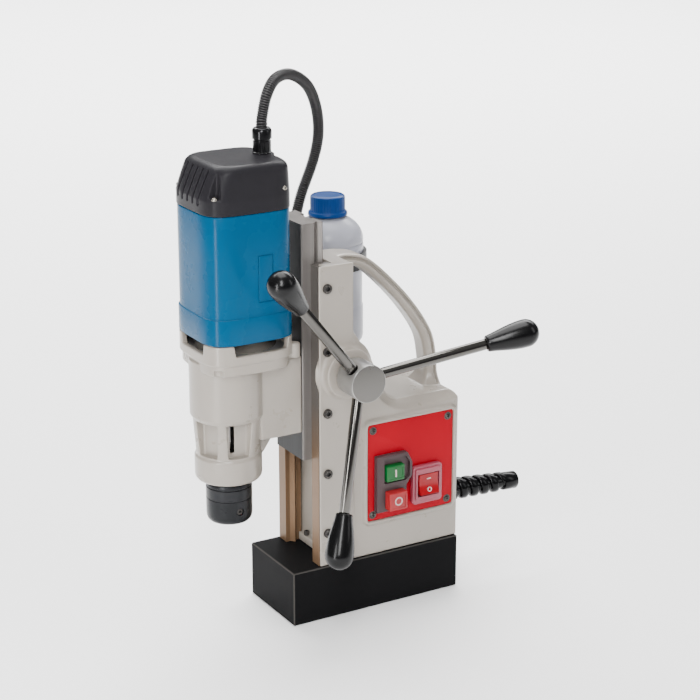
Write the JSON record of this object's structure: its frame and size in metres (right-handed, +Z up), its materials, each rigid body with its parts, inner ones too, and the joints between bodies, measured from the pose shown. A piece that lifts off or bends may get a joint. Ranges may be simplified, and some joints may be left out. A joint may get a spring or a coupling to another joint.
{
  "type": "magnetic drill press",
  "caption": "Portable magnetic-base drill: electromagnet foot, cast stand with rack-fed slide, geared motor head, capstan handles and coolant bottle.",
  "frame": {"origin": "centre of the magnet's underside, on the surface that the drill clamps to", "axes": "+Z up along the slide and the spindle; -X towards the drill spindle, +X towards the hand grip and the mains lead; -Y the operator's side with the switch panel and the feed handles"},
  "size_m": [0.3268, 0.2216, 0.4802],
  "materials": {
    "magnet_black": "satin black paint",
    "winding_copper": "enamelled copper and laminations",
    "epoxy": "cast epoxy",
    "cast_paint": "warm light grey paint on a casting",
    "gib_bronze": "machined bronze",
    "black_screw": "black oxide",
    "steel": "ground steel",
    "red_panel": "printed plate, satin",
    "switch_grey": "moulded grey",
    "green_key": "translucent green key",
    "red_key": "translucent red key",
    "clear_red": "clear hood over red",
    "board_green": "circuit board",
    "relief_rubber": "moulded black",
    "bottle_milky": "milky polyethylene",
    "cap_blue": "moulded blue",
    "strap_black": "moulded black",
    "conduit_black": "black sheathed metal conduit",
    "satin_aluminium": "satin turned",
    "chrome_rod": "polished",
    "knob_black": "polished phenolic",
    "motor_blue": "fine-grained blue plastic",
    "cap_black": "fine-grained dark plastic",
    "arbor_black": "black oxide"
  },
  "bodies": {
    "stand": {"magnet_body": "magnet_black", "magnet_coil": "winding_copper", "coil_seal": "epoxy", "stand_casting": "cast_paint", "gib_near": "gib_bronze", "gib_far": "gib_bronze", "gib_screw_1": "black_screw", "gib_screw_2": "black_screw", "gib_screw_3": "black_screw", "gib_screw_4": "black_screw", "gib_screw_5": "black_screw", "foot_bolt_left": "steel", "foot_bolt_right": "steel", "panel_plate": "red_panel", "switch_housing": "switch_grey", "rocker_frame": "clear_red", "control_board": "board_green", "strain_relief": "relief_rubber", "strain_relief_nut": "relief_rubber", "coolant_bottle": "bottle_milky", "bottle_strap": "strap_black", "bush_near": "gib_bronze", "bush_far": "gib_bronze", "conduit_elbow": "conduit_black"},
    "carriage": {"slide": "steel", "feed_rack": "steel", "gearbox_housing": "cast_paint", "bearing_plate": "satin_aluminium", "motor_housing": "motor_blue", "end_cap": "cap_black", "stator": "winding_copper", "brush_ring": "strap_black", "rotor_bearing_lower": "steel", "rotor_bearing_upper": "steel", "spindle_bearing_lower": "steel", "spindle_bearing_upper": "steel", "conduit_gland": "conduit_black", "wiring_conduit": "conduit_black"},
    "feed_wheel": {"pinion_shaft": "steel", "feed_hub": "satin_aluminium", "feed_spoke_1": "chrome_rod", "feed_spoke_2": "chrome_rod", "feed_spoke_3": "chrome_rod", "spoke_knob_1": "knob_black", "spoke_knob_2": "knob_black", "spoke_knob_3": "knob_black"},
    "rotor": {"armature_shaft": "steel", "armature_core": "winding_copper", "commutator": "winding_copper", "cooling_fan": "strap_black"},
    "layshaft": {"layshaft": "steel", "layshaft_gear": "steel"},
    "spindle": {"spindle": "steel", "spindle_gear": "steel", "arbor_holder": "arbor_black", "arbor_screw_1": "steel"},
    "start_button": {"start_button": "green_key"},
    "stop_button": {"stop_button": "red_key"},
    "magnet_rocker": {"magnet_rocker": "red_key"},
    "bottle_cap": {"bottle_cap": "cap_blue"}
  },
  "joints": [
    {"name": "carriage_slide", "type": "slide", "parent": "stand", "child": "carriage", "axis": [0, 0, 1], "range_m": [-0.088, 0.06], "deforming": ["wiring_conduit"]},
    {"name": "feed_turn", "type": "hinge", "parent": "stand", "child": "feed_wheel", "pos_m": [-0.032, 0, 0.227], "axis": [0, 1, 0], "range_deg": [-421, 287]},
    {"name": "rotor_spin", "type": "hinge", "parent": "carriage", "child": "rotor", "pos_m": [-0.117, 0, 0.3], "axis": [0, 0, 1], "continuous": true},
    {"name": "layshaft_spin", "type": "hinge", "parent": "carriage", "child": "layshaft", "pos_m": [-0.10816, 0.01568, 0.2475], "axis": [0, 0, 1], "continuous": true},
    {"name": "spindle_spin", "type": "hinge", "parent": "carriage", "child": "spindle", "pos_m": [-0.126, 0, 0.2], "axis": [0, 0, 1], "continuous": true},
    {"name": "start_press", "type": "slide", "parent": "stand", "child": "start_button", "axis": [0, 1, 0], "range_m": [0, 0.003], "stiffness_N_per_m": 900},
    {"name": "stop_press", "type": "slide", "parent": "stand", "child": "stop_button", "axis": [0, 1, 0], "range_m": [0, 0.003], "stiffness_N_per_m": 900},
    {"name": "magnet_rock", "type": "hinge", "parent": "stand", "child": "magnet_rocker", "pos_m": [0.049, -0.0413, 0.1094], "axis": [1, 0, 0], "range_deg": [0, 16]},
    {"name": "cap_lift", "type": "slide", "parent": "stand", "child": "bottle_cap", "axis": [0, 0, 1], "range_m": [0, 0.035]}
  ],
  "couplings": [
    {"joint": "feed_turn", "follows": "carriage_slide", "rad_per_m": 83.333},
    {"joint": "layshaft_spin", "follows": "rotor_spin", "ratio": -0.33333},
    {"joint": "spindle_spin", "follows": "rotor_spin", "ratio": 0.11905}
  ]
}
